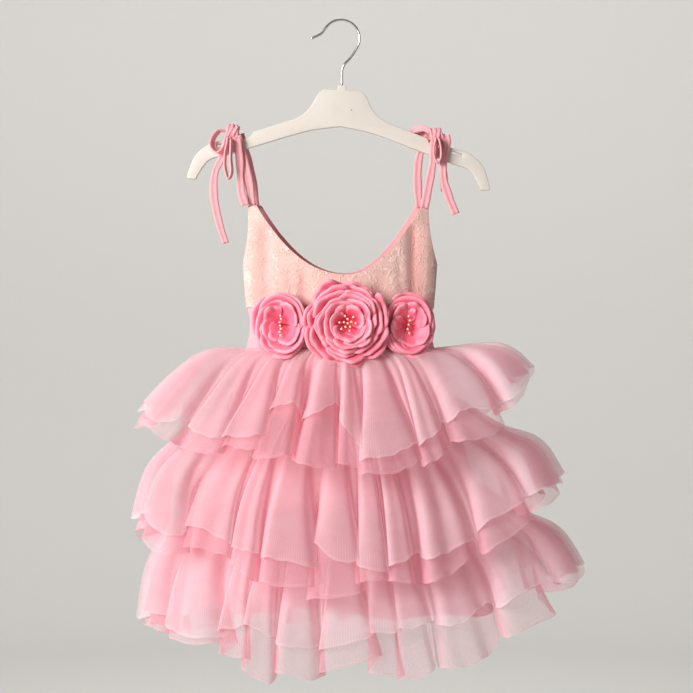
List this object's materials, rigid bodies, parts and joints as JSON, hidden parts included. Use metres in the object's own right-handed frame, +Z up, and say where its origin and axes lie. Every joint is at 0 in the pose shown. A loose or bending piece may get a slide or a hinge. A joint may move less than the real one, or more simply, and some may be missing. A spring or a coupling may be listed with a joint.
{
  "type": "toddler party dress on a hanger",
  "caption": "Toddler's sleeveless party dress with a lace bodice, tied shoulder straps, flowered waistband and layered tulle skirt, hung on a plastic hanger with a wire hook.",
  "frame": {"origin": "inside top of the hanger's hook, where it rests on a rail, in the plane of the hanger", "axes": "+Z up, +X along the hanger towards the dress's own left shoulder, -Y out of the front of the dress"},
  "size_m": [0.48, 0.2676, 0.6741],
  "materials": {
    "lace": "cream floral lace, matt",
    "lining": "plain pink lining, soft",
    "jersey": "pale pink jersey, soft",
    "tulle": "sheer pale pink tulle, faint sheen",
    "satin": "rose satin with seared edges, soft gloss",
    "hanger_plastic": "white moulded plastic, satin",
    "hook_wire": "bright plated wire"
  },
  "bodies": {
    "root": {"base_skirt": "lining", "bodice_back": "lace", "bodice_front": "lace", "bow_knot_left": "jersey", "bow_knot_right": "jersey", "bow_loop_left_hanging": "jersey", "bow_loop_left_outer": "jersey", "bow_loop_right_back": "jersey", "bow_loop_right_hanging": "jersey", "bow_tail_left_inner": "jersey", "bow_tail_left_outer": "jersey", "bow_tail_right_back": "jersey", "bow_tail_right_front": "jersey", "flower_centre_whorl_1": "satin", "flower_centre_whorl_2": "satin", "flower_centre_whorl_3": "satin", "flower_centre_whorl_4": "satin", "flower_centre_whorl_5": "satin", "flower_centre_whorl_6": "satin", "flower_left_whorl_1": "satin", "flower_left_whorl_2": "satin", "flower_left_whorl_3": "satin", "flower_right_whorl_1": "satin", "flower_right_whorl_2": "satin", "flower_right_whorl_3": "satin", "hanger_arms": "hanger_plastic", "hanger_hook": "hook_wire", "lining_back": "lining", "lining_front": "lining", "strap_back_left": "jersey", "strap_back_right": "jersey", "strap_front_left": "jersey", "strap_front_right": "jersey", "tier_1_lower": "tulle", "tier_1_upper": "tulle", "tier_2_lower": "tulle", "tier_2_upper": "tulle", "tier_3_lower": "tulle", "tier_3_upper": "tulle", "waistband": "jersey"}
  },
  "joints": []
}
